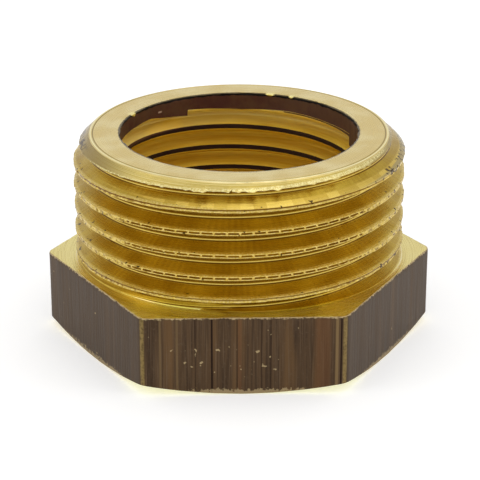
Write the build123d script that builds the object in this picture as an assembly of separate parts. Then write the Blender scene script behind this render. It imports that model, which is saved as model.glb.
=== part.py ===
"""Brass hex reducing bushing, G 3/4 male by G 1/2 female, as one solid.

Millimetres. The axis is Z and the underside lies on Z = 0. Two corners of the hex point along
X, so a flat faces -Y. Each thread is a row of V-shaped ring grooves of the true pitch and depth.
"""

import os
from math import radians, tan

from build123d import *

# pipe thread form: parallel, 14 turns to the inch
PITCH = 25.4 / 14
DEPTH_PER_PITCH = 0.640327
CREST_FLAT_PER_PITCH = 1 / 6

# hex head
ACROSS_FLATS = 27.0
HEX_HEIGHT = 6.4
CORNER_ROUNDING = 0.9
UNDERSIDE_D = 26.8
UNDERSIDE_CHAMFER_ANGLE = 20.5

# male stub
MALE_MAJOR_D = 26.441
STUB_LENGTH = 10.3
STUB_END_D = 23.3
STUB_CHAMFER_ANGLE = 45.0
# plain collar between the shoulder and the lowest groove
COLLAR_LENGTH = 1.43

# female bore, threaded from the underside and left raw at the stub's end
BORE_D = 19.0
FEMALE_MAJOR_D = 20.955
FEMALE_THREAD_LENGTH = 15.3
MOUTH_D = 21.4
MOUTH_CHAMFER_ANGLE = 45.0

# cutters run this far past the metal
OVERCUT = 1.0

total_height = HEX_HEIGHT + STUB_LENGTH
bore_radius = BORE_D / 2
mouth_radius = MOUTH_D / 2
male_radius = MALE_MAJOR_D / 2
male_root_radius = male_radius - DEPTH_PER_PITCH * PITCH
# a groove's half width for each millimetre of its depth
flank_slope = (1 - CREST_FLAT_PER_PITCH) / 2 / DEPTH_PER_PITCH


def revolved(*outline):
    """A solid turned about Z from its half section, given as (radius, height) points."""
    return revolve(make_face(Plane.XZ * Polyline(*outline, close=True)), Axis.Z)


def groove(root_radius, open_radius, middle):
    """A V-shaped ring groove: sharp at root_radius, and as wide as its flanks reach at open_radius."""
    half_width = abs(open_radius - root_radius) * flank_slope
    return revolved(
        (root_radius, middle),
        (open_radius, middle - half_width),
        (open_radius, middle + half_width),
    )


# hex head, with its corners chamfered round on the underside
chamfer_width = ACROSS_FLATS / 2
head = extrude(
    fillet(RegularPolygon(ACROSS_FLATS / 2, 6, major_radius=False).vertices(), CORNER_ROUNDING),
    HEX_HEIGHT,
)
head &= revolved(
    (0, 0),
    (UNDERSIDE_D / 2, 0),
    (UNDERSIDE_D / 2 + chamfer_width, chamfer_width * tan(radians(UNDERSIDE_CHAMFER_ANGLE))),
    (UNDERSIDE_D / 2 + chamfer_width, HEX_HEIGHT + chamfer_width),
    (0, HEX_HEIGHT + chamfer_width),
)

# male stub, chamfered at its end, standing a little inside the head
stub_bottom = HEX_HEIGHT - OVERCUT
chamfer_drop = (male_radius - STUB_END_D / 2) / tan(radians(STUB_CHAMFER_ANGLE))
stub = revolved(
    (0, stub_bottom),
    (male_radius, stub_bottom),
    (male_radius, total_height - chamfer_drop),
    (STUB_END_D / 2, total_height),
    (0, total_height),
)
crest_reach = (male_radius - male_root_radius) * flank_slope
middle = HEX_HEIGHT + COLLAR_LENGTH + crest_reach
while middle < total_height:
    stub -= groove(male_root_radius, male_radius + OVERCUT, middle)
    middle += PITCH

bushing = head + stub

# raw bore right through, opened at the mouth, then grooved down from the thread's inner end
bushing -= Pos(0, 0, -OVERCUT) * Cylinder(
    bore_radius, total_height + 2 * OVERCUT, align=(Align.CENTER, Align.CENTER, Align.MIN)
)
mouth_rise = mouth_radius / tan(radians(MOUTH_CHAMFER_ANGLE))
bushing -= revolved((0, 0), (mouth_radius, 0), (0, mouth_rise))
female_radius = FEMALE_MAJOR_D / 2
bore_reach = (female_radius - bore_radius) * flank_slope
bore_mouth = (mouth_radius - bore_radius) / tan(radians(MOUTH_CHAMFER_ANGLE))
middle = FEMALE_THREAD_LENGTH - bore_reach
while middle + bore_reach > bore_mouth:
    bushing -= groove(female_radius, bore_radius - OVERCUT, middle)
    middle -= PITCH

os.makedirs("parts", exist_ok=True)
export_step(bushing, "parts/hex_bushing.step")
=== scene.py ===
from math import cos, pi, radians, sin, tan

import bpy
import numpy as np
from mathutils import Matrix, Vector


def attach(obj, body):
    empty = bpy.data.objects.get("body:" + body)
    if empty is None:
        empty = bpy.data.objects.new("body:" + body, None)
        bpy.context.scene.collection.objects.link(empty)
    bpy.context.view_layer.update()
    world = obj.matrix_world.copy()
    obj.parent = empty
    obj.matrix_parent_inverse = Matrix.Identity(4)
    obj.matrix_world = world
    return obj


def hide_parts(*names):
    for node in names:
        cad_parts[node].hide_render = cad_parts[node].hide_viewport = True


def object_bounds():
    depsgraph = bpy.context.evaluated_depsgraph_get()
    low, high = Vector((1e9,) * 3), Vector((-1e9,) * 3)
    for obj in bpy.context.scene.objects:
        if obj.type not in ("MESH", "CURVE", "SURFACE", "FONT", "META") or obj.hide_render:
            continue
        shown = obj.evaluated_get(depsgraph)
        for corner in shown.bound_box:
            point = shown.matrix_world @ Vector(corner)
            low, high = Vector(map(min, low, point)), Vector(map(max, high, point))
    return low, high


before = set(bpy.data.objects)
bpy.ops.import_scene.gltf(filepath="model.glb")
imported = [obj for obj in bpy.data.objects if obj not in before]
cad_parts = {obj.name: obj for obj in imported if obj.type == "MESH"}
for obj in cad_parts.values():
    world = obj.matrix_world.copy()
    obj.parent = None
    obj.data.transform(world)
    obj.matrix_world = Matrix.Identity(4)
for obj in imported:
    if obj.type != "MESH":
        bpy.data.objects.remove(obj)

cad_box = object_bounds()

# Brass hex bushing with a male and a female pipe thread. Its metal is one closed mesh, made of
# rows of points that follow the threads and columns at fixed bearings round the axis. Sizes and
# points are in millimetres until the mesh is made.

# ---------------------------------------------------------------- sizes
PITCH = 25.4 / 14
FLANK_ANGLE = radians(27.5)
THREAD_DEPTH = 0.640327 * PITCH
THREAD_ROUNDING = 0.137329 * PITCH

# hex head, half as wide as the frame is along Y
HEX_HALF = round(1000 * cad_box[1][1], 3)
HEX_HEIGHT = 6.4
CORNER_ROUNDING = 0.9
UNDERSIDE_R = 13.4
UNDERSIDE_SLOPE = tan(radians(20.5))

# male stub, whose end is the frame's top
TOP = round(1000 * cad_box[1][2], 3)
MALE_R = 26.441 / 2
MALE_ROOT_R = MALE_R - THREAD_DEPTH
COLLAR_R = MALE_R - 0.1
COLLAR_SLOPE = 1.9
COLLAR_DEGREES = (0, 180, 270, 330, 360)
COLLAR_RADII = (COLLAR_R, COLLAR_R, MALE_ROOT_R, MALE_ROOT_R, COLLAR_R)
STUB_END_R = 11.9
SCRIBED_R = 11.66
CREST_HEIGHT = 7.22
CREST_BEARING = pi

# bore, tapped from the underside up to a stop that steps from one tooth's sector to the next
BORE_R = 9.5
GROOVE_R = 20.955 / 2
ROOT_WIDENING = 0.06
MOUTH_R = 10.7
RIGHT_STEP = 17.9
BACK_STEP = 115.4
LEFT_STEP = 220
FRONT_STEP = 292
RIGHT_STOP_DEGREES = (18, 36, 62, 88, 114)
RIGHT_STOP_HEIGHTS = (15.24, 15.20, 15.34, 15.22, 15.49)
BACK_STOP_DEGREES = (BACK_STEP, 129, 139, 152, LEFT_STEP)
BACK_STOP_HEIGHTS = (14.99, 15.24, 15.52, 15.40, 15.25)
LEFT_STOP = 14.8
FRONT_STOP = 14.25
TAP_STOP = 15.3
TAP_BEARING = radians(LEFT_STEP)

# chatter marks along the crests: how many make a turn, and the angle of one
CHATTER = 83
CHATTER_STEP = 2 * pi / CHATTER

# chips and notches of the bore's rim: bearing and half width in degrees, and strength
CHIPS = ((153.4, 2.6, 1.1), (72.7, 2.6, 1.0), (61.4, 1.5, 0.6))
NOTCHES = ((141.5, 1.3, 1.0), (45, 1.2, 0.5))

# ---------------------------------------------------------------- columns round the axis
# five columns to a chatter mark, and closer ones at the hex corners and the tap's two steps
COLUMN_SHARES = (0.0, 0.1, 0.37, 0.63, 0.9)
CORNER_COLUMNS = np.radians((-1.9, -1.35, -0.8, -0.3, 0.3, 0.8, 1.35, 1.9))
STEP_COLUMNS = np.radians((RIGHT_STEP - 0.15, RIGHT_STEP + 0.1, BACK_STEP - 0.1, BACK_STEP + 0.15))
CLOSEST_COLUMNS = radians(0.12)

bearings = np.add.outer(np.arange(CHATTER), COLUMN_SHARES).ravel() * CHATTER_STEP
corners = np.add.outer(np.radians(np.arange(0, 360, 60)), CORNER_COLUMNS).ravel() % (2 * pi)
bearings = np.unique(np.round(np.concatenate([bearings, corners, STEP_COLUMNS]), 6))
gaps = np.diff(np.append(bearings, 2 * pi))
bearings = bearings[gaps > CLOSEST_COLUMNS]
wide = bearings[:, None]

# ---------------------------------------------------------------- noise and small shapes
NOISE_ROWS = 512
NOISE_START = 200


def eased(share):
    """Goes from 0 to 1 with a level start and end."""
    return share * share * (3 - 2 * share)


def noise(bearing, height, seed, step_degrees, step_mm):
    """Smooth seeded noise on the bushing's wall, from -1 to 1. It closes after a full turn."""
    cells = max(3, round(360 / step_degrees))
    table = np.random.default_rng(seed).uniform(-1, 1, (cells, NOISE_ROWS))
    across = (np.asarray(bearing) / (2 * pi)) % 1 * cells
    up = np.asarray(height) / step_mm + NOISE_START
    across, up = np.broadcast_arrays(across, up)
    column = np.floor(across).astype(int)
    row = np.floor(up).astype(int)
    along, rise = eased(across - column), eased(up - row)
    here, after = column % cells, (column + 1) % cells
    below, above = row % NOISE_ROWS, (row + 1) % NOISE_ROWS
    low = table[here, below] * (1 - along) + table[after, below] * along
    high = table[here, above] * (1 - along) + table[after, above] * along
    return low * (1 - rise) + high * rise


def turned_to(bearing, centre_degrees):
    """The bearing measured from a centre, in degrees from -180 to 180."""
    return (np.degrees(bearing) - centre_degrees + 180) % 360 - 180


def bumps(places):
    """Smooth bumps along the rim, one for each bearing, half width and strength."""
    return sum(
        strength * np.clip(1 - (turned_to(wide, centre) / half_width) ** 2, 0, 1) ** 2
        for centre, half_width, strength in places
    )


def fading(centre_degrees, half_width, fade, least):
    """1 near a bearing, and falling over the fade to the least value at the half width."""
    return np.clip((half_width - np.abs(turned_to(wide, centre_degrees))) / fade, least, 1)


def between(height, low, high):
    """Where a height lies between two others."""
    return (height > low) & (height < high)


def uneven(size, height, *layers):
    """A size with layers of noise added, each of them an amount, a seed, and a cell's degrees and
    millimetres."""
    for amount, seed, step_degrees, step_mm in layers:
        size = size + amount * noise(wide, height, seed, step_degrees, step_mm)
    return size


def offset_in_pitch(turns):
    """Distance from the nearest whole turn, signed."""
    return (turns - np.round(turns)) * PITCH


def groove_depth(distance):
    """Depth of the V groove below the crests' flat, at a distance from its centre."""
    centre = THREAD_DEPTH - THREAD_ROUNDING
    edge = THREAD_ROUNDING * cos(FLANK_ANGLE)
    foot = centre + THREAD_ROUNDING * sin(FLANK_ANGLE)
    rounded = centre + np.sqrt(np.clip(THREAD_ROUNDING**2 - distance**2, 0, None))
    straight = foot - (distance - edge) / tan(FLANK_ANGLE)
    return np.where(distance < edge, rounded, np.clip(straight, 0, None))


# ---------------------------------------------------------------- outlines
def male_turns(bearing, z):
    """Height in turns of the thread, a whole number on every crest."""
    return (z - CREST_HEIGHT) / PITCH - (bearing - CREST_BEARING) / (2 * pi)


def male_radius(bearing, z):
    """The male thread, with the unthreaded collar below it."""
    from_crest = offset_in_pitch(male_turns(bearing, z))
    thread = MALE_R - groove_depth(PITCH / 2 - np.abs(from_crest))
    return np.maximum(thread, collar_radius(bearing, z))


def collar_radius(bearing, z):
    """The collar over the shoulder: full round the back, gone at the front, and full at the right."""
    outline = np.interp(np.degrees(bearing) % 360, COLLAR_DEGREES, COLLAR_RADII)
    collar_top = CREST_HEIGHT - PITCH / 4 * (1 + np.cos(bearing))
    return outline - np.clip(z - collar_top, 0, None) * COLLAR_SLOPE


def cone_radius(z):
    """The 45 degree lead chamfer at the stub's end."""
    return STUB_END_R + TOP - z


def female_turns(bearing, z):
    """Height in turns of the thread, a whole number on every groove."""
    return (z - TAP_STOP) / PITCH - (bearing - TAP_BEARING) / (2 * pi)


def female_radius(bearing, z):
    """The female thread, cut into a bore that is wider than the thread's own crests."""
    from_groove = offset_in_pitch(female_turns(bearing, z))
    distance = np.clip(np.abs(from_groove) - ROOT_WIDENING, 0, None)
    cut = GROOVE_R - BORE_R
    return BORE_R + np.clip(groove_depth(distance) - (THREAD_DEPTH - cut), 0, None)


def mouth_radius(z):
    """The 45 degree chamfer at the bore's lower end."""
    return MOUTH_R - z


def tap_stop(bearing):
    """Height where the tap's teeth stopped."""
    degrees = np.degrees(bearing) % 360
    right = np.interp(degrees, RIGHT_STOP_DEGREES, RIGHT_STOP_HEIGHTS)
    back = np.interp(degrees, BACK_STOP_DEGREES, BACK_STOP_HEIGHTS)
    sectors = [degrees < step for step in (RIGHT_STEP, BACK_STEP, LEFT_STEP, FRONT_STEP)]
    return np.select(sectors, [FRONT_STOP, right, back, LEFT_STOP], FRONT_STOP)


def hex_radius(bearing):
    """The head's outline: flats joined by small rounded corners."""
    from_corner = np.abs((bearing + pi / 6) % (pi / 3) - pi / 6)
    centre = (HEX_HALF - CORNER_ROUNDING) / cos(pi / 6)
    flat = HEX_HALF / np.cos(pi / 6 - from_corner)
    inside = np.clip(CORNER_ROUNDING**2 - (centre * np.sin(from_corner)) ** 2, 0, None)
    rounded = centre * np.cos(from_corner) + np.sqrt(inside)
    tangent = np.arctan2(CORNER_ROUNDING / 2, centre + CORNER_ROUNDING * cos(pi / 6))
    return np.where(from_corner < tangent, rounded, flat)


# ---------------------------------------------------------------- mesh assembly
# a row nearer to a thread's end than this share of the rows' spacing is left out
ROW_MARGIN = 0.4

points = []
faces = []
face_slots = []


def add_points(radius, z, bearing):
    """Adds one point per entry and returns their numbers, in the same shape."""
    radius, z, bearing = np.broadcast_arrays(radius, z, bearing)
    first = sum(len(block) for block in points)
    block = np.stack([radius * np.cos(bearing), radius * np.sin(bearing), z], axis=-1)
    points.append(block.reshape(-1, 3))
    return first + np.arange(radius.size).reshape(radius.shape)


def closed(ids):
    """Straight rows: the last column joins the first."""
    return np.concatenate([ids, ids[:1]])


def add_faces(ids, slot):
    """Joins a grid of point numbers, one line per column. Points that coincide share a number."""
    for column in range(len(ids) - 1):
        left, right = ids[column], ids[column + 1]
        for row in range(ids.shape[1] - 1):
            loop = (left[row], left[row + 1], right[row + 1], right[row])
            loop = tuple(dict.fromkeys(int(number) for number in loop))
            if len(loop) > 2:
                faces.append(loop)
                face_slots.append(slot if np.isscalar(slot) else slot[column][row])


def helical_rows(turns, height_of, low, high):
    """Heights of rows that follow a thread, and which of them lie between two levels."""
    z = height_of(wide, turns[None, :])
    margin = ROW_MARGIN * np.gradient(z, axis=1)
    started = np.logical_or.accumulate(z > low + margin, axis=1)
    ended = np.logical_or.accumulate(z > high - margin, axis=1)
    return z, started & ~ended


def snapped(z, gap):
    """Moves the row nearest to each change of sign of gap(z) onto it, and marks it."""
    here = gap(z)
    cross = here[:, :-1] * here[:, 1:] < 0
    fall = np.where(cross, here[:, :-1] - here[:, 1:], 1)
    share = np.where(cross, here[:, :-1] / fall, 0)
    at = z[:, :-1] + share * np.diff(z, axis=1)
    moved = z.copy()
    mark = np.zeros(z.shape, bool)
    lower = cross & (share < 0.5)
    upper = cross & (share >= 0.5)
    moved[:, :-1][lower] = at[lower]
    mark[:, :-1] |= lower
    moved[:, 1:][upper] = at[upper]
    mark[:, 1:] |= upper
    return moved, mark


def thread_grid(ids, z, inside, per_turn, middle, upper, lower):
    """Point numbers of a trimmed thread. The rows beyond its ends, above and below the middle,
    share the points that close it, and the closing column is the first one a turn higher."""
    ids = np.where(inside, ids, -1)
    above = ~inside & (z > middle)
    below = ~inside & ~above
    ids[above] = np.broadcast_to(upper[:, None], ids.shape)[above]
    ids[below] = np.broadcast_to(lower[:, None], ids.shape)[below]
    last = np.full(ids.shape[1], upper[0])
    last[:-per_turn] = ids[0, per_turn:]
    return np.concatenate([ids, last[None, :]])


# ---------------------------------------------------------------- male thread
# rows at fixed distances from a crest's middle, repeated each turn
MALE_ROWS = np.array(
    (-0.907, -0.8, -0.69, -0.43, -0.2, -0.15, -0.08, -0.06, 0.06, 0.08, 0.15, 0.2, 0.43, 0.69, 0.8)
)
MALE_TURNS = range(-2, 8)
CREST_HALF_WIDTH = 0.2
CREST_BAND = 0.1
MALE_WAVES = ((0.006, 21, 2.2, 0.25), (0.007, 22, 9, 0.8))

# chatter marks: two lips with a gap between them, and a joint at each end
MARKED_BELOW = TOP - 1.5
MARKS_SEED = 11
RANDOM_TURNS = 16
FIRST_RANDOM_TURN = 4
GAP_HALF_WIDTH = 0.07
GAP_DEPTH = 0.025
CLEAR_GAP_DEPTH = 0.045
LIP_HEIGHT = 0.032
CLEAR_LEVELLING = 0.75
JOINT_SHARE = 0.05
JOINT_HEIGHT = 0.012
CREST_WANDER = 0.016
WANDER_SPACING = 3.3

# where the gaps are clear: bearing, half width and fade in degrees, and the lowest and highest point
FRONT_MARKS = (271, 46, 12)
FRONT_MARKS_Z = (8.4, 14.2)
LEFT_MARKS = 192
LEFT_MARKS_HALF_WIDTH = 10
LEFT_MARKS_Z = (8.2, 12.2)
LEFT_CLEARNESS = 0.7
LEAST_LEFT_RISE = -0.3

# burr: where it is longest, as for the front marks, and its least share elsewhere
BURR_PLACE = (275, 80, 30)
LEAST_BURR = 0.2
BURR_LENGTH = 0.2
BURR_SAG = 0.07
BURR_SHARPNESS = 1.5
BURR_WAVES = ((1, 24, 1.7, 1), (0.5, 26, 5.0, 1))

male_z, male_inside = helical_rows(
    np.concatenate([turn + MALE_ROWS / PITCH for turn in MALE_TURNS]),
    lambda bearing, turn: CREST_HEIGHT + PITCH * (turn + (bearing - CREST_BEARING) / (2 * pi)),
    HEX_HEIGHT,
    TOP,
)
male_z, chamfer_edge = snapped(male_z, lambda z: male_radius(wide, z) - cone_radius(z))
male_r = np.minimum(male_radius(wide, male_z), cone_radius(male_z))
from_crest = offset_in_pitch(male_turns(wide, male_z))
turn_number = np.round(male_turns(wide, male_z))
on_crest = (np.abs(from_crest) < CREST_HALF_WIDTH) & (male_r > MALE_R - CREST_BAND)
on_crest = on_crest & (male_z < MARKED_BELOW)

# the lips of each mark have a height of their own
joint = np.abs((wide / CHATTER_STEP + 0.5) % 1 - 0.5) < JOINT_SHARE
mark_number = np.floor(wide / CHATTER_STEP + 1e-6).astype(int) % CHATTER
random_marks = np.random.default_rng(MARKS_SEED).uniform(-1, 1, (CHATTER, RANDOM_TURNS))
random_turn = (turn_number.astype(int) + FIRST_RANDOM_TURN) % RANDOM_TURNS
mark_rise = random_marks[mark_number, random_turn]

# the gaps are clear over the front, and some of them at the left. Elsewhere they are shallow
clear = fading(*FRONT_MARKS, 0) * between(male_z, *FRONT_MARKS_Z)
at_left = np.abs(turned_to(wide, LEFT_MARKS)) < LEFT_MARKS_HALF_WIDTH
at_left = at_left & between(male_z, *LEFT_MARKS_Z) & (mark_rise > LEAST_LEFT_RISE)
clear = np.maximum(clear, LEFT_CLEARNESS * at_left)
between_lips = (np.abs(from_crest) < GAP_HALF_WIDTH) & ~joint
recess = np.where(between_lips, GAP_DEPTH + CLEAR_GAP_DEPTH * clear, 0)
lips = LIP_HEIGHT * (1 - CLEAR_LEVELLING * clear) * mark_rise + np.where(joint, JOINT_HEIGHT, 0)
male_r = male_r + np.where(on_crest, lips - recess, 0)
male_r = uneven(male_r, male_z, *MALE_WAVES)
crest_wander = CREST_WANDER * noise(wide, turn_number * WANDER_SPACING, 23, 1.7, 1.0)
male_z = male_z + np.where(on_crest, crest_wander, 0)

# a burr hangs from the chamfer's lower edge, and is longest at the front
burr = np.clip(uneven(0, 0, *BURR_WAVES), 0, 1) ** BURR_SHARPNESS
burr = burr * fading(*BURR_PLACE, LEAST_BURR)
male_r = male_r + np.where(chamfer_edge, BURR_LENGTH * burr, 0)
male_z = male_z - np.where(chamfer_edge, BURR_SAG * burr, 0)

# ---------------------------------------------------------------- end face
# rings from the bore's edge out past a scribed line to the chamfer, and their drops from the top
FACE_RINGS = (10.0, 10.7, 11.2, 11.6, SCRIBED_R, 11.72, 11.84)
FACE_DROPS = np.array((0.04, 0, 0, 0, 0, 0, 0.04, 0, 0, 0.03))
RIM_WIDTH = 0.1
RIM_WAVES = ((0.05, 31, 2.1, 1), (0.04, 32, 6, 1))
FACE_EDGE_WAVES = (0.025, 33, 3, 1)
NOTCH_DEPTH = 0.25
CHIP_REACH = 0.1
CHIP_DROP = 0.14

chips = bumps(CHIPS)
notches = bumps(NOTCHES)
bore_edge = uneven(BORE_R, 0, *RIM_WAVES) + NOTCH_DEPTH * notches - CHIP_REACH * chips
inner_ring = BORE_R + RIM_WIDTH + NOTCH_DEPTH * notches
face_edge = uneven(STUB_END_R, 0, FACE_EDGE_WAVES)
rings = np.broadcast_to(FACE_RINGS, (len(bearings), len(FACE_RINGS)))
face_z = TOP - FACE_DROPS + 0 * wide
face_z[:, :1] -= CHIP_DROP * chips
face_ids = add_points(np.hstack([bore_edge, inner_ring, rings, face_edge]), face_z, wide)
male_ids = add_points(male_r, male_z, wide)

# ---------------------------------------------------------------- shoulder
# from the stub's foot to the hex outline
SHOULDER_SHARES = np.array((0.0, 0.03, 0.1, 0.3, 0.6, 0.85, 1.0))
SHOULDER_WAVES = (0.004, 42, 20, 0.4)
EDGE_INSET = 0.05
EDGE_WEAR = 0.04

outline = hex_radius(wide)
foot_r = male_radius(wide, HEX_HEIGHT)
worn_edge = outline - EDGE_INSET - EDGE_WEAR * np.abs(noise(wide, 0, 41, 1.4, 1))
shoulder_r = foot_r + (worn_edge - foot_r) * SHOULDER_SHARES
shoulder_z = uneven(HEX_HEIGHT, shoulder_r, SHOULDER_WAVES)
shoulder_ids = add_points(shoulder_r, shoulder_z, wide)
male_grid = thread_grid(
    male_ids,
    male_z,
    male_inside,
    len(MALE_ROWS),
    (HEX_HEIGHT + TOP) / 2,
    face_ids[:, -1],
    shoulder_ids[:, 0],
)

# ---------------------------------------------------------------- hex flats, bevel and underside
FLAT_SHARES = np.array((0.0, 0.015, 0.06, 0.2, 0.4, 0.6, 0.8, 0.95, 1.0))
BEVEL_SHARES = np.array((0.35, 0.7, 1.0))
UNDERSIDE_SHARES = np.array((0.3, 0.65, 1.0))
UNDERSIDE_EDGE_R = UNDERSIDE_R - 0.05
LEAST_BEVEL = 0.02
EDGE_DROP = 0.02
EDGE_CHIPPING = 0.08
EDGE_ROUNDING = 0.03
FLAT_WAVES = (0.012, 44, 5, 2.5)
FLAT_RIPPLE = (0.006, 45, 1.0, 1)

bevel_z = np.clip((outline - UNDERSIDE_R) * UNDERSIDE_SLOPE, LEAST_BEVEL, None)
top_z = HEX_HEIGHT - EDGE_DROP - EDGE_CHIPPING * np.clip(noise(wide, 0, 43, 1.2, 1), 0, 1)
flat_z = top_z + (bevel_z - top_z) * FLAT_SHARES
flat_r = uneven(uneven(outline, flat_z, FLAT_WAVES), 0, FLAT_RIPPLE)
flat_r[:, 0] -= EDGE_ROUNDING
flat_ids = add_points(flat_r, flat_z, wide)
bevel_r = flat_r[:, -1:] + (UNDERSIDE_EDGE_R - flat_r[:, -1:]) * BEVEL_SHARES
underside_r = UNDERSIDE_EDGE_R + (MOUTH_R - UNDERSIDE_EDGE_R) * UNDERSIDE_SHARES + 0 * wide
under_ids = add_points(
    np.hstack([bevel_r, underside_r]),
    np.hstack([bevel_z * (1 - BEVEL_SHARES), 0 * underside_r]),
    wide,
)

# ---------------------------------------------------------------- female thread
# rows at fixed distances from a groove's middle, repeated each turn
FEMALE_ROWS = np.array((-0.907, -0.76, -0.71, -0.29, -0.17, 0.0, 0.17, 0.29, 0.71, 0.76))
FEMALE_TURNS = range(-10, 3)
FEMALE_WAVES = (0.008, 51, 3, 0.3)
RAW_DEPTH = 0.03
RAW_ABOVE = MOUTH_R - BORE_R + 0.1
CEILING_DROP = 0.01

stop = tap_stop(wide)
female_z, female_inside = helical_rows(
    np.concatenate([turn + FEMALE_ROWS / PITCH for turn in FEMALE_TURNS]),
    lambda bearing, turn: TAP_STOP + PITCH * (turn + (bearing - TAP_BEARING) / (2 * pi)),
    0.0,
    stop,
)
female_z = snapped(female_z, lambda z: female_radius(wide, z) - mouth_radius(z))[0]
female_r = np.maximum(female_radius(wide, female_z), mouth_radius(female_z))
female_r = uneven(female_r, female_z, FEMALE_WAVES)
ceiling_ids = add_points(female_radius(wide, stop), stop - CEILING_DROP, wide)
female_grid = thread_grid(
    add_points(female_r, female_z, wide),
    female_z,
    female_inside,
    len(FEMALE_ROWS),
    TAP_STOP / 2,
    ceiling_ids[:, 0],
    under_ids[:, -1],
)

# ---------------------------------------------------------------- raw band above the tap's stop
BAND_SHARES = np.array((0.0, 0.25, 0.5, 0.75, 0.9))
BAND_WAVES = (0.02, 61, 5, 0.6)
BAND_RISE = 0.03
RIM_DROP = 0.07
RIM_FLARE = 0.03

band_foot = stop + BAND_RISE
band_z = band_foot + (TOP - band_foot) * BAND_SHARES
band_ids = add_points(uneven(BORE_R, band_z, BAND_WAVES), band_z, wide)
rim_ids = add_points(bore_edge + RIM_FLARE, TOP - RIM_DROP - CHIP_DROP * chips, wide)

# ---------------------------------------------------------------- faces and their materials
BRASS, MARK, SKIN, BORE, RAW = range(5)
LEAST_CLEAR = 0.25
SHARP_ANGLE = radians(32)

in_mark = on_crest & between_lips & (clear > LEAST_CLEAR)
in_mark = in_mark & np.roll(in_mark, -1, axis=0)
male_slots = np.where(in_mark[:, :-1] & in_mark[:, 1:], MARK, BRASS)
on_raw = female_r < BORE_R + RAW_DEPTH
on_raw = on_raw[:, :-1] & on_raw[:, 1:] & (female_z[:, 1:] > RAW_ABOVE)
female_slots = np.where(on_raw, RAW, BORE)

add_faces(closed(face_ids), BRASS)
add_faces(male_grid[:, ::-1], male_slots[:, ::-1])
add_faces(closed(shoulder_ids), BRASS)
add_faces(closed(np.hstack([shoulder_ids[:, -1:], flat_ids])), SKIN)
add_faces(closed(np.hstack([flat_ids[:, -1:], under_ids])), BRASS)
add_faces(female_grid, female_slots)
add_faces(closed(np.hstack([ceiling_ids, band_ids[:, :1]])), BORE)
add_faces(closed(np.hstack([band_ids, rim_ids])), RAW)
add_faces(closed(np.hstack([rim_ids, face_ids[:, :1]])), BRASS)

all_points = np.concatenate(points) / 1000
used = np.unique(np.concatenate(faces))
renumber = np.full(len(all_points), -1)
renumber[used] = np.arange(len(used))
mesh = bpy.data.meshes.new("bushing_metal")
mesh.from_pydata(all_points[used].tolist(), [], [renumber[list(face)].tolist() for face in faces])
mesh.update()
bushing = bpy.data.objects.new("bushing_metal", mesh)
bpy.context.scene.collection.objects.link(bushing)


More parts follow.
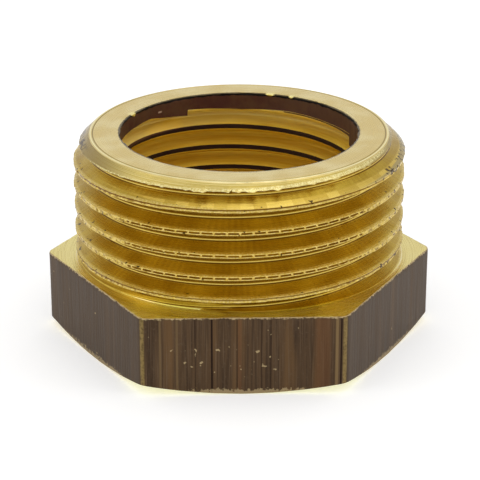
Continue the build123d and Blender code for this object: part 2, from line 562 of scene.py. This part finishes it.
# ---------------------------------------------------------------- materials
class Nodes:
    """Short calls for building one material's nodes."""

    def __init__(self, name):
        self.material = bpy.data.materials.new(name)
        self.material.use_nodes = True
        self.tree = self.material.node_tree
        self.shader = self.tree.nodes["Principled BSDF"]

    def locate(self):
        """Adds the part's own coordinates in millimetres, straight and round the axis."""
        split = self.add("ShaderNodeSeparateXYZ")
        self.link(self.add("ShaderNodeTexCoord").outputs["Object"], split.inputs[0])
        self.x, self.y, self.z = (self.times(output, 1000.0) for output in split.outputs)
        self.place = self.vector(self.x, self.y, self.z)
        self.aside = self.math("ABSOLUTE", self.x)
        squares = self.plus(self.times(self.x, self.x), self.times(self.y, self.y))
        self.radius = self.math("SQRT", squares)
        self.bearing = self.math("ARCTAN2", self.y, self.x)

    def add(self, kind, **settings):
        node = self.tree.nodes.new(kind)
        for key, value in settings.items():
            setattr(node, key, value)
        return node

    def link(self, source, target):
        self.tree.links.new(source, target)

    def put(self, target, value):
        if isinstance(value, bpy.types.NodeSocket):
            self.link(value, target)
        elif isinstance(value, tuple):
            target.default_value = (*value, 1.0)
        else:
            target.default_value = value

    def math(self, operation, *values):
        node = self.add("ShaderNodeMath", operation=operation)
        for socket, value in zip(node.inputs, (*values, 0.0, 0.0)):
            self.put(socket, value)
        return node.outputs[0]

    def plus(self, first, second):
        return self.math("ADD", first, second)

    def minus(self, first, second):
        return self.math("SUBTRACT", first, second)

    def times(self, first, *others):
        for other in others:
            first = self.math("MULTIPLY", first, other)
        return first

    def larger(self, first, *others):
        for other in others:
            first = self.math("MAXIMUM", first, other)
        return first

    def mix(self, share, under, over):
        """The lower colour, covered by the upper one to a share."""
        node = self.add("ShaderNodeMix", data_type="RGBA", blend_type="MIX")
        self.put(node.inputs[0], share)
        self.put(node.inputs[6], under)
        self.put(node.inputs[7], over)
        return node.outputs[2]

    def ramp(self, value, start, end, at_start, at_end):
        """Goes smoothly from one amount to another while the value goes from start to end."""
        node = self.add("ShaderNodeMapRange", interpolation_type="SMOOTHSTEP")
        for socket, setting in zip(node.inputs, (value, start, end, at_start, at_end)):
            self.put(socket, setting)
        return node.outputs[0]

    def near(self, value, centre, half_width):
        """1 at the centre, and 0 beyond the half width on either side."""
        away = self.math("ABSOLUTE", self.minus(value, centre))
        return self.ramp(away, half_width * 0.4, half_width, 1.0, 0.0)

    def near_any(self, value, *places):
        """The largest of several calls of near, each given as a centre and a half width."""
        return self.larger(*(self.near(value, centre, half_width) for centre, half_width in places))

    def vector(self, x, y, z):
        node = self.add("ShaderNodeCombineXYZ")
        for socket, value in zip(node.inputs, (x, y, z)):
            self.put(socket, value)
        return node.outputs[0]

    def noise(self, where, scale, detail, roughness):
        node = self.add("ShaderNodeTexNoise")
        self.put(node.inputs["Vector"], where)
        node.inputs["Scale"].default_value = scale
        node.inputs["Detail"].default_value = detail
        node.inputs["Roughness"].default_value = roughness
        return node.outputs["Fac"]

    def streaks(self, across, along, detail, roughness):
        """Noise drawn out along the axis, with a scale across it and one along it."""
        where = self.vector(
            self.times(self.x, across), self.times(self.y, across), self.times(self.z, along)
        )
        return self.noise(where, 1.0, detail, roughness)

    def turning_marks(self, around, across, detail, roughness):
        """Noise drawn out round the axis, with a scale round it and one across it."""
        where = self.vector(
            self.times(self.bearing, around), self.times(self.radius, across), self.times(self.z, across)
        )
        return self.noise(where, 1.0, detail, roughness)

    def random(self, where):
        node = self.add("ShaderNodeTexWhiteNoise", noise_dimensions="3D")
        self.link(where, node.inputs["Vector"])
        return node.outputs["Value"]

    def bump(self, height, strength, distance):
        node = self.add("ShaderNodeBump")
        node.inputs["Strength"].default_value = strength
        node.inputs["Distance"].default_value = distance
        self.put(node.inputs["Height"], height)
        return node.outputs["Normal"]

    def finish(self, colour, metallic, roughness, normal):
        self.link(colour, self.shader.inputs["Base Color"])
        self.shader.inputs["Metallic"].default_value = metallic
        self.link(roughness, self.shader.inputs["Roughness"])
        self.link(normal, self.shader.inputs["Normal"])
        return self.material


# colours of the threads, among them painted shade and painted highlights
SHADED_FLANK_DARK = (0.46, 0.30, 0.030)
SHADED_FLANK_LIGHT = (0.56, 0.385, 0.052)
SHADOW_BROWN = (0.36, 0.21, 0.02)
ROOT_SHADE = (0.34, 0.20, 0.02)
ROOT_SHADE_LINE = (0.15, 0.065, 0.005)
ROOT_HIGHLIGHT_LINE = (0.72, 0.55, 0.14)
CREST_DARK = (0.60, 0.43, 0.08)
CREST_LIGHT = (0.80, 0.62, 0.22)
CREST_SHADE_LINE = (0.13, 0.045, 0.0)
LUMP_BROWN = (0.24, 0.13, 0.02)
PIT_BLACK = (0.05, 0.025, 0.01)
UPPER_FLANK_SHEEN_DARK = (0.62, 0.42, 0.07)
UPPER_FLANK_SHEEN_LIGHT = (0.84, 0.61, 0.13)
GAP_SHADE_DARK = (0.10, 0.035, 0.0)
GAP_SHADE_LIGHT = (0.23, 0.11, 0.005)
GROOVE_DARK = (0.84, 0.58, 0.065)
GROOVE_LIGHT = (0.90, 0.66, 0.10)
HIGHLIGHT_GOLD = (1.0, 0.86, 0.36)

# colours of the chamfer, end face and shoulder, among them painted shade and painted highlights
CHAMFER_DARK = (0.60, 0.44, 0.09)
CHAMFER_LIGHT = (0.86, 0.70, 0.28)
CHAMFER_SIDE_SHADE = (0.36, 0.27, 0.11)
CHAMFER_LEFT_SHADE = (0.30, 0.20, 0.05)
BURR_HIGHLIGHT_GOLD = (1.0, 0.88, 0.42)
FACED_DARK = (0.78, 0.60, 0.22)
FACED_LIGHT = (0.87, 0.72, 0.34)
FACED_MARKS = (0.62, 0.46, 0.15)
SCRIBED_BROWN = (0.40, 0.29, 0.08)
EDGE_HIGHLIGHT_GOLD = (1.0, 0.90, 0.50)
RIM_BLACK = (0.05, 0.028, 0.012)
SHOULDER_GOLD = (0.92, 0.80, 0.30)
SCORED_GOLD = (0.52, 0.38, 0.10)
FRONT_SHEEN_GOLD = (1.0, 0.98, 0.42)
TURNED_GOLD = (0.95, 0.83, 0.48)

# colours of the hex head
SKIN_DARK = (0.048, 0.029, 0.017)
SKIN_LIGHT = (0.105, 0.063, 0.033)
SKIN_BANDS = (0.15, 0.083, 0.035)
SKIN_GRAIN = (0.14, 0.10, 0.065)
SKIN_SCRATCHES = (0.15, 0.10, 0.06)
OTHER_FLATS = (0.085, 0.060, 0.040)
STREAK_BLACK = (0.02, 0.010, 0.006)
STREAK_LIGHT = (0.20, 0.13, 0.06)
STREAK_RED = (0.16, 0.072, 0.03)
CORNER_BRASS = (0.30, 0.21, 0.075)
WORN_BRASS = (0.50, 0.38, 0.20)

# colours of the raw bore
BORE_DARK = (0.10, 0.034, 0.020)
BORE_LIGHT = (0.13, 0.058, 0.026)
BORE_RIGHT = (0.15, 0.085, 0.05)
BORE_STREAKS = (0.06, 0.025, 0.015)
BORE_SHADE = (0.012, 0.006, 0.004)
BORE_EDGE = (0.008, 0.005, 0.004)
NICK_BRASS = (0.60, 0.42, 0.30)

# radii of the crests' foot, of the painted highlight on the end face's outer edge, and of bright lines on
# the shoulder, some with half widths
CREST_FOOT_R = 12.95
HIGHLIGHT_EDGE_R = 11.83
TURNED_LINES = ((12.5, 0.07), (13.22, 0.06))

# streaks of the flat facing -Y: distance along it and half width
DARK_STREAKS = ((-2.42, 0.10), (-7.68, 0.12), (7.42, 0.08))
THIN_STREAKS = ((-3.68, 0.07), (-0.50, 0.08), (1.37, 0.07), (2.06, 0.07))
LIGHT_STREAKS = ((-6.35, 0.12), (-5.07, 0.12))
BRIGHT_STREAK = (7.1, 0.16)
RED_STREAKS = ((-0.3, 0.2), (6.05, 0.8))

# the nick in the raw bore: bearing in degrees and height
NICK_DEGREES = 132.2
NICK_HEIGHT = 15.88


def thread_colour(n, patches, grain):
    """Dark gold flanks darkened by painted shade, with painted chatter shade, a thin painted shade line
    and painted highlight along the roots, and paler crests.
    """
    turns = n.minus(
        n.math("DIVIDE", n.minus(n.z, CREST_HEIGHT), PITCH),
        n.math("DIVIDE", n.minus(n.bearing, CREST_BEARING), 2 * pi),
    )
    crest_number = n.math("FLOOR", n.plus(turns, 0.5))
    above_crest = n.times(n.minus(turns, crest_number), PITCH)
    mark_number = n.math("FLOOR", n.math("DIVIDE", n.bearing, CHATTER_STEP))
    per_mark = n.random(n.vector(mark_number, crest_number, 0.0))

    # painted shade: the flanks' brass is darker than the faced ends', standing in for the dim light the
    # flanks reflect
    colour = n.mix(patches, SHADED_FLANK_DARK, SHADED_FLANK_LIGHT)
    colour = n.mix(n.ramp(per_mark, 0.0, 1.0, 0.0, 0.22), colour, SHADOW_BROWN)
    ripple = n.ramp(n.math("SINE", n.times(n.bearing, 2.0 * CHATTER)), -1.0, 1.0, 0.0, 0.34)
    rippled = n.ramp(n.noise(n.place, 0.5, 1.0, 0.5), 0.4, 0.6, 0.2, 1.0)
    colour = n.mix(n.times(ripple, rippled), colour, SHADOW_BROWN)
    colour = n.mix(n.ramp(above_crest, -0.75, -0.6, 0.6, 0.0), colour, ROOT_SHADE)
    # painted shade and a painted highlight: a dark line where the root lies in shade, and a bright line
    # where its rounding catches light
    colour = n.mix(n.near(above_crest, 0.79, 0.055), colour, ROOT_SHADE_LINE)
    colour = n.mix(n.near(above_crest, 0.875, 0.03), colour, ROOT_HIGHLIGHT_LINE)

    crest = n.mix(n.ramp(grain, 0.35, 0.65, 0.0, 1.0), CREST_DARK, CREST_LIGHT)
    colour = n.mix(n.ramp(n.radius, CREST_FOOT_R, 13.12, 0.0, 0.85), colour, crest)
    lumps = n.ramp(n.noise(n.place, 3.0, 1.0, 0.5), 0.5, 0.6, 0.0, 0.75)
    behind_front = n.ramp(n.y, -12.3, -10.8, 0.0, 1.0)
    raised = n.ramp(n.radius, CREST_FOOT_R, 13.1, 0.0, 1.0)
    lumps = n.times(n.near(above_crest, 0.0, 0.18), lumps, behind_front, raised)
    colour = n.mix(lumps, colour, LUMP_BROWN)

    # painted highlight: the uppermost flank is painted bright where it sees past the chamfer's edge to
    # the light, and differs from mark to mark
    flank_sheen = n.mix(n.ramp(per_mark, 0.1, 0.9, 0.0, 1.0), UPPER_FLANK_SHEEN_DARK, UPPER_FLANK_SHEEN_LIGHT)
    on_upper_flank = n.times(n.ramp(n.z, 15.02, 15.1, 0.0, 0.75), n.ramp(n.radius, 12.65, 12.8, 0.0, 1.0))
    colour = n.mix(on_upper_flank, colour, flank_sheen)

    # painted shade: the first and last crests have one dark line in place of the gaps between marks and
    # their shadow
    high_crest = n.times(n.ramp(n.z, 14.4, 14.6, 0.0, 0.9), n.ramp(n.z, 15.2, 15.3, 1.0, 0.0))
    end_crests = n.larger(high_crest, n.ramp(n.z, 8.2, 8.4, 0.8, 0.0))
    crest_shade_line = n.times(n.near(above_crest, 0.05, 0.1), end_crests)
    return n.mix(crest_shade_line, colour, CREST_SHADE_LINE), above_crest


def chamfer_colour(n, marks, grain, above_crest):
    """The lead chamfer: duller at both sides and at the left with painted shade, and a painted highlight
    on the torn edge at the front.
    """
    colour = n.mix(n.ramp(marks, 0.3, 0.7, 0.0, 1.0), CHAMFER_DARK, CHAMFER_LIGHT)
    # painted shade: the chamfer is darkened towards both sides, and more towards the left
    colour = n.mix(n.ramp(n.aside, 7.5, 12.0, 0.0, 0.8), colour, CHAMFER_SIDE_SHADE)
    colour = n.mix(n.ramp(n.x, -11.5, -8.0, 0.45, 0.0), colour, CHAMFER_LEFT_SHADE)
    # painted highlight: the torn burr along the chamfer's front edge is painted bright
    burr_highlight = n.times(n.near(above_crest, -0.50, 0.14), n.ramp(n.y, -6.0, -3.0, 1.0, 0.0))
    burr_highlight = n.times(burr_highlight, n.ramp(grain, 0.38, 0.6, 0.1, 0.9))
    return n.mix(burr_highlight, colour, BURR_HIGHLIGHT_GOLD)


def faced_colour(n, patches, marks, grain):
    """The end face and the shoulder, both faced square to the axis."""
    low = n.ramp(n.z, HEX_HEIGHT + 0.05, HEX_HEIGHT + 0.3, 1.0, 0.0)
    colour = n.mix(patches, FACED_DARK, FACED_LIGHT)
    colour = n.mix(n.ramp(marks, 0.25, 0.6, 0.4, 0.0), colour, FACED_MARKS)
    colour = n.mix(n.times(low, 0.7), colour, SHOULDER_GOLD)

    # end face: a scribed line, a painted highlight on the outer edge, and a dark rim with bare metal
    # chips that carry a painted glint
    colour = n.mix(n.near(n.radius, SCRIBED_R, 0.07), colour, SCRIBED_BROWN)
    colour = n.mix(n.near(n.radius, HIGHLIGHT_EDGE_R, 0.07), colour, EDGE_HIGHLIGHT_GOLD)
    from_bore = n.minus(n.radius, BORE_R)
    rim = n.ramp(n.plus(from_bore, n.times(grain, 0.25)), 0.22, 0.3, 0.9, 0.0)
    colour = n.mix(rim, colour, RIM_BLACK)
    # bare metal chips in pale gold, with a painted glint
    glint_widths = (0.05, 0.05, 0.03)
    places = ((radians(chip[0]), width) for chip, width in zip(CHIPS, glint_widths))
    chip_glint = n.ramp(n.plus(from_bore, n.times(grain, 0.4)), 0.4, 0.75, 1.0, 0.0)
    colour = n.mix(n.times(n.near_any(n.bearing, *places), chip_glint), colour, HIGHLIGHT_GOLD)

    # shoulder: dark turned lines at both sides, and the palest metal over the front flat, a painted
    # highlight
    at_sides = n.ramp(n.aside, 6.0, 10.0, 0.1, 1.0)
    scored = n.times(n.ramp(marks, 0.38, 0.5, 0.55, 0.0), low, at_sides)
    colour = n.mix(scored, colour, SCORED_GOLD)
    front_sheen = n.times(n.ramp(n.y, -11.5, -9.5, 0.85, 0.0), low)
    return n.mix(front_sheen, colour, FRONT_SHEEN_GOLD)


def pitted_colour(n, colour):
    """Black pits on the crests, most of them high at both sides, and on the chamfer's left edge."""
    pitting = n.noise(n.place, 2.6, 1.0, 0.5)
    left_edge = n.times(n.ramp(n.x, -10.8, -9.5, 0.95, 0.0), n.near(n.z, 16.08, 0.36))
    left_edge = n.times(left_edge, n.ramp(n.y, -4.0, -1.0, 0.0, 1.0))
    left_edge = n.times(left_edge, n.ramp(pitting, 0.48, 0.52, 0.0, 1.0))
    colour = n.mix(left_edge, colour, PIT_BLACK)
    at_sides = n.ramp(n.aside, 9.0, 12.0, 0.0, 0.06)
    more = n.plus(at_sides, n.times(at_sides, n.ramp(n.z, 14.9, 15.3, 0.0, 1.8)))
    pits = n.ramp(n.plus(pitting, more), 0.72, 0.75, 0.0, 1.0)
    pits = n.times(pits, n.ramp(n.z, HEX_HEIGHT + 0.5, HEX_HEIGHT + 0.8, 0.0, 1.0))
    pits = n.times(pits, n.ramp(n.radius, 12.7, 12.9, 0.0, 0.9))
    return n.mix(pits, colour, PIT_BLACK)


def machined_brass():
    """Cut brass: dark gold thread flanks darkened by painted shade, paler crests, and the palest on the
    faced ends.
    """
    n = Nodes("machined_brass")
    n.locate()
    patches = n.ramp(n.noise(n.place, 0.4, 2.0, 0.5), 0.35, 0.65, 0.0, 1.0)
    marks = n.turning_marks(0.9, 15.0, 3.0, 0.65)
    grain = n.noise(n.place, 7.0, 2.0, 0.6)

    colour, above_crest = thread_colour(n, patches, grain)
    cone = STUB_END_R + TOP
    on_chamfer = n.ramp(n.plus(n.radius, n.z), cone - 0.12, cone - 0.05, 0.0, 1.0)
    colour = n.mix(on_chamfer, colour, chamfer_colour(n, marks, grain, above_crest))
    on_shoulder = n.ramp(n.z, HEX_HEIGHT + 0.02, HEX_HEIGHT + 0.07, 1.0, 0.0)
    on_ends = n.larger(n.ramp(n.z, TOP - 0.09, TOP - 0.06, 0.0, 1.0), on_shoulder)
    colour = n.mix(on_ends, colour, faced_colour(n, patches, marks, grain))
    turned = n.times(n.near_any(n.radius, *TURNED_LINES), on_shoulder)
    colour = pitted_colour(n, n.mix(turned, colour, TURNED_GOLD))

    height = n.plus(marks, n.times(grain, 0.4))
    return n.finish(colour, 1.0, n.ramp(marks, 0.3, 0.7, 0.2, 0.36), n.bump(height, 0.35, 0.00004))


def recessed_brass(name, dark, light, roughness, painted_top_highlight):
    """Brass in the crests' gaps and in the bore's grooves, in the colours given, which for the gaps are
    painted shade, with a painted highlight brightening the uppermost groove.
    """
    n = Nodes(name)
    n.locate()
    marks = n.turning_marks(1.5, 9.0, 2.0, 0.5)
    colour = n.mix(n.ramp(marks, 0.3, 0.7, 0.0, 1.0), dark, light)
    # painted highlight: the uppermost groove is brightened towards pale gold for the light it reflects
    if painted_top_highlight:
        colour = n.mix(n.ramp(n.z, 13.85, 14.3, 0.0, painted_top_highlight), colour, HIGHLIGHT_GOLD)
    dulled = n.ramp(marks, 0.3, 0.7, roughness, roughness + 0.12)
    return n.finish(colour, 1.0, dulled, n.bump(marks, 0.15, 0.00002))


def front_flat_colour(n, colour):
    """Streaks of the flat facing -Y. The other flats are duller."""
    on_flat = n.ramp(n.y, -13.35, -13.2, 1.0, 0.0)
    colour = n.mix(n.times(n.minus(1.0, on_flat), 0.5), colour, OTHER_FLATS)
    dark = n.near_any(n.x, *DARK_STREAKS)
    dark = n.larger(dark, n.times(n.near_any(n.x, *THIN_STREAKS), 0.6))
    light = n.times(n.near_any(n.x, *LIGHT_STREAKS), 0.5)
    light = n.larger(light, n.near(n.x, *BRIGHT_STREAK))
    reddish = n.times(n.near_any(n.x, *RED_STREAKS), 0.45)
    colour = n.mix(n.times(dark, on_flat), colour, STREAK_BLACK)
    colour = n.mix(n.times(light, on_flat), colour, STREAK_LIGHT)
    return n.mix(n.times(reddish, on_flat), colour, STREAK_RED), on_flat


def worn_colour(n, colour, grain, on_flat):
    """Brass that shows through at the hex corners, the flats' edges and the nicks."""
    sixths = n.math("DIVIDE", n.bearing, pi / 3)
    from_corner = n.math("ABSOLUTE", n.minus(sixths, n.math("ROUND", sixths)))
    corner = n.times(n.ramp(from_corner, 0.006, 0.015, 0.8, 0.0), n.ramp(grain, 0.3, 0.6, 0.4, 1.0))
    colour = n.mix(corner, colour, CORNER_BRASS)
    ragged = n.plus(n.z, n.times(grain, 0.5))
    upper_edge = n.ramp(ragged, HEX_HEIGHT + 0.13, HEX_HEIGHT + 0.22, 0.0, 1.0)
    lower_edge = n.ramp(n.minus(n.z, n.times(grain, 1.2)), -0.28, -0.18, 0.6, 0.0)
    scuffed = n.times(n.near(n.x, -1.3, 6.5), on_flat, n.near(n.z, 3.2, 2.6), 0.10)
    nicks = n.ramp(n.plus(n.noise(n.place, 2.3, 1.0, 0.5), scuffed), 0.77, 0.80, 0.0, 0.7)
    return n.mix(n.larger(upper_edge, nicks, lower_edge), colour, WORN_BRASS)


def hex_skin():
    """Dark oxidised skin of the extruded bar, streaked along the axis and worn at the corners."""
    n = Nodes("hex_skin")
    n.locate()
    streaks = n.streaks(4.4, 0.12, 4.0, 0.7)
    bands = n.streaks(0.8, 0.05, 2.0, 0.5)
    scratches = n.streaks(12.0, 0.2, 1.0, 0.5)
    grain = n.noise(n.place, 5.0, 3.0, 0.6)
    colour = n.mix(n.ramp(streaks, 0.3, 0.66, 0.0, 1.0), SKIN_DARK, SKIN_LIGHT)
    colour = n.mix(n.ramp(bands, 0.5, 0.75, 0.0, 0.75), colour, SKIN_BANDS)
    colour = n.mix(n.ramp(grain, 0.55, 0.8, 0.0, 0.4), colour, SKIN_GRAIN)
    colour = n.mix(n.ramp(scratches, 0.5, 0.72, 0.0, 0.5), colour, SKIN_SCRATCHES)
    colour, on_flat = front_flat_colour(n, colour)
    colour = worn_colour(n, colour, grain, on_flat)
    n.shader.inputs["Specular IOR Level"].default_value = 0.2
    height = n.plus(streaks, n.times(grain, 0.3))
    return n.finish(colour, 0.8, n.ramp(streaks, 0.3, 0.7, 0.42, 0.56), n.bump(height, 0.5, 0.00006))


def bore_skin():
    """Smooth reddish skin of the raw bore, black under the rim, with one bright nick."""
    n = Nodes("bore_skin")
    n.locate()
    blotches = n.noise(n.place, 0.6, 3.0, 0.6)
    streaks = n.streaks(2.0, 0.5, 3.0, 0.6)
    colour = n.mix(n.ramp(blotches, 0.35, 0.65, 0.0, 1.0), BORE_DARK, BORE_LIGHT)
    colour = n.mix(n.ramp(n.x, 0.0, 7.0, 0.0, 0.55), colour, BORE_RIGHT)
    colour = n.mix(n.ramp(streaks, 0.55, 0.75, 0.0, 0.3), colour, BORE_STREAKS)
    colour = n.mix(n.ramp(n.z, 13.95, 14.1, 0.75, 0.0), colour, BORE_SHADE)
    ragged = n.plus(n.z, n.times(n.noise(n.place, 2.2, 2.0, 0.5), 0.3))
    colour = n.mix(n.ramp(ragged, TOP - 0.09, TOP - 0.03, 0.0, 1.0), colour, BORE_EDGE)
    nick = n.times(n.near(n.bearing, radians(NICK_DEGREES), 0.028), n.near(n.z, NICK_HEIGHT, 0.1))
    colour = n.mix(nick, colour, NICK_BRASS)
    n.shader.inputs["Specular IOR Level"].default_value = 0.25
    return n.finish(colour, 0.5, n.ramp(streaks, 0.3, 0.7, 0.5, 0.6), n.bump(streaks, 0.3, 0.00004))


mesh.materials.append(machined_brass())
# painted shade: the crests' gaps are dark brown in place of the shadow in these recesses
mesh.materials.append(recessed_brass("crest_gap_shade", GAP_SHADE_DARK, GAP_SHADE_LIGHT, 0.26, 0.0))
mesh.materials.append(hex_skin())
mesh.materials.append(recessed_brass("bore_brass", GROOVE_DARK, GROOVE_LIGHT, 0.38, 0.6))
mesh.materials.append(bore_skin())
mesh.polygons.foreach_set("material_index", np.array(face_slots, dtype=np.int32))
mesh.polygons.foreach_set("use_smooth", np.ones(len(mesh.polygons), dtype=bool))
mesh.set_sharp_from_angle(angle=SHARP_ANGLE)
mesh.update()

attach(bushing, "root")
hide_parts("hex_bushing")


# ---------------------------------------------------------------- floor, world, lamps and camera
WHITE = (1, 1, 1, 1)
FLOOR_SIZE = 1.6
FLOOR_MIDDLE = (0, 0.3, 0)
FLOOR_GLOW = 0.35
WORLD_LIGHT = 0.8
SIDE_LAMP = (0.16, 0.2, 1.0)
TOP_LAMP = (0.3, 0.3, 0.5)
LAMP_TARGET = Vector((0, 0, 0.01))
CAMERA_PLACE = (-0.00395, -0.15108, 0.06907)
CAMERA_TURN = (radians(67.745), 0.0, radians(-1.527))
CAMERA_LENS = 150.4


def studio_floor():
    """Pale floor that looks a little brighter to the camera, without lighting the bushing more."""
    n = Nodes("studio_floor")
    grain = n.noise(n.add("ShaderNodeTexCoord").outputs["Object"], 40.0, 2.0, 0.5)
    n.link(n.mix(grain, (0.82, 0.82, 0.82), (0.86, 0.86, 0.86)), n.shader.inputs["Base Color"])
    n.shader.inputs["Roughness"].default_value = 0.9
    n.shader.inputs["Specular IOR Level"].default_value = 0.1
    n.shader.inputs["Emission Color"].default_value = WHITE
    rays = n.add("ShaderNodeLightPath").outputs
    seen = n.larger(rays["Is Camera Ray"], rays["Is Glossy Ray"], rays["Is Transmission Ray"])
    n.link(n.times(seen, FLOOR_GLOW), n.shader.inputs["Emission Strength"])
    return n.material


def studio_world():
    """Soft white light from all round, with a white backdrop."""
    world = bpy.data.worlds.new("studio")
    world.use_nodes = True
    tree = world.node_tree
    light = tree.nodes["Background"]
    light.inputs["Color"].default_value = WHITE
    light.inputs["Strength"].default_value = WORLD_LIGHT
    backdrop = tree.nodes.new("ShaderNodeBackground")
    backdrop.inputs["Color"].default_value = WHITE
    rays = tree.nodes.new("ShaderNodeLightPath")
    chosen = tree.nodes.new("ShaderNodeMixShader")
    tree.links.new(rays.outputs["Is Camera Ray"], chosen.inputs[0])
    tree.links.new(light.outputs[0], chosen.inputs[1])
    tree.links.new(backdrop.outputs[0], chosen.inputs[2])
    tree.links.new(chosen.outputs[0], tree.nodes["World Output"].inputs[0])
    return world


def lamp(name, place, width, height, radiance):
    """A rectangular lamp that faces the bushing."""
    data = bpy.data.lights.new(name, "AREA")
    data.shape = "RECTANGLE"
    data.size = width
    data.size_y = height
    data.energy = radiance * pi * width * height
    item = bpy.data.objects.new(name, data)
    item.location = place
    item.rotation_euler = (LAMP_TARGET - Vector(place)).to_track_quat("-Z", "Y").to_euler()
    bpy.context.scene.collection.objects.link(item)


bpy.ops.mesh.primitive_plane_add(size=FLOOR_SIZE, location=FLOOR_MIDDLE)
ground = bpy.context.object
ground.name = "studio_floor"
ground.data.materials.append(studio_floor())

bpy.context.scene.world = studio_world()
lamp("lamp_left", (-0.3, -0.1, 0.16), *SIDE_LAMP)
lamp("lamp_right", (0.3, -0.08, 0.16), *SIDE_LAMP)
lamp("lamp_top", (0.05, 0.05, 0.4), *TOP_LAMP)

camera_data = bpy.data.cameras.new("camera")
camera_data.lens = CAMERA_LENS
camera_data.sensor_width = 36.0
camera_data.dof.use_dof = False
camera_data.clip_start = 0.005
camera = bpy.data.objects.new("camera", camera_data)
camera.location = CAMERA_PLACE
camera.rotation_euler = CAMERA_TURN
bpy.context.scene.collection.objects.link(camera)
bpy.context.scene.camera = camera
bpy.context.scene.view_settings.view_transform = "Standard"
